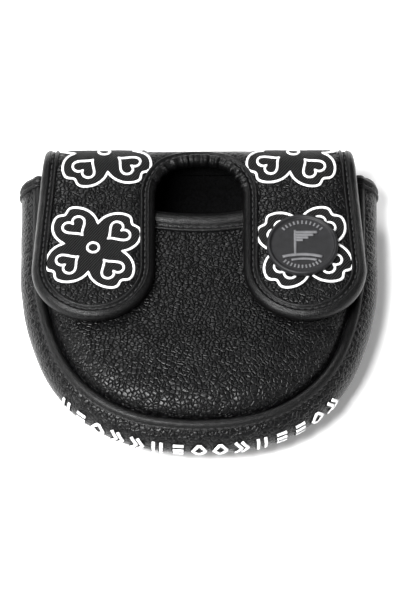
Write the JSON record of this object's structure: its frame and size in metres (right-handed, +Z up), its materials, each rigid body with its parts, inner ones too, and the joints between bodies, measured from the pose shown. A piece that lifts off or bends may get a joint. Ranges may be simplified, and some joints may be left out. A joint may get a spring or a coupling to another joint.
{
  "type": "putter head cover",
  "caption": "Padded leather pouch for a mallet putter head, closed by a magnetic flap whose two round tabs pass either side of the shaft.",
  "frame": {"origin": "middle of the cover's footprint, on the surface that its back panel lies on", "axes": "+Z up through the front panel, +Y towards the mouth, -Y towards the toe, +X across"},
  "size_m": [0.13, 0.1227, 0.0377],
  "materials": {
    "panel_leather": "black pebble-grain leather",
    "smooth_leather": "black smooth leather, folded and stitched",
    "foam": "soft open-cell foam",
    "fleece": "dark grey pile fleece",
    "cord": "soft filler cord",
    "magnet": "nickel-plated disc magnet",
    "cup_steel": "pressed steel cup",
    "rubber": "moulded dark grey rubber",
    "thread": "black and white satin-stitched thread",
    "white_thread": "white satin-stitched thread"
  },
  "bodies": {
    "pouch": {"back_panel": "panel_leather", "back_foam": "foam", "back_lining": "fleece", "flap_root": "smooth_leather", "front_panel": "panel_leather", "front_foam": "foam", "left_keeper_magnet": "magnet", "right_keeper_magnet": "magnet", "front_lining": "fleece", "front_mouth_binding": "smooth_leather", "gusset": "panel_leather", "gusset_foam": "foam", "gusset_lining": "fleece", "front_piping": "smooth_leather", "front_piping_cord": "cord", "back_piping": "smooth_leather", "back_piping_cord": "cord", "left_mouth_binding": "smooth_leather", "right_mouth_binding": "smooth_leather", "gusset_embroidery": "white_thread"},
    "flap_bridge": {"bridge_leather": "panel_leather", "bridge_foam": "foam", "bridge_lining": "fleece", "left_bridge_binding": "smooth_leather", "right_bridge_binding": "smooth_leather", "left_back_emblem": "thread", "right_back_emblem": "thread"},
    "flap_front": {"flap_leather": "panel_leather", "flap_foam": "foam", "flap_lining": "fleece", "left_tab_magnet": "magnet", "right_tab_magnet": "magnet", "slot_binding": "smooth_leather", "left_edge_binding": "smooth_leather", "right_edge_binding": "smooth_leather", "left_lower_emblem": "thread", "right_lower_emblem": "thread", "left_upper_emblem": "thread", "right_upper_emblem": "thread", "badge_cover": "rubber", "badge_cup": "cup_steel", "badge_magnet": "magnet"}
  },
  "joints": [
    {"name": "flap_hinge", "type": "hinge", "parent": "pouch", "child": "flap_bridge", "pos_m": [0, 0.05866, 0.00234], "axis": [-1, 0, 0], "range_deg": [0, 78]},
    {"name": "flap_fold", "type": "hinge", "parent": "flap_bridge", "child": "flap_front", "pos_m": [0, 0.05933, 0.02855], "axis": [-1, 0, 0], "range_deg": [0, 90]}
  ]
}
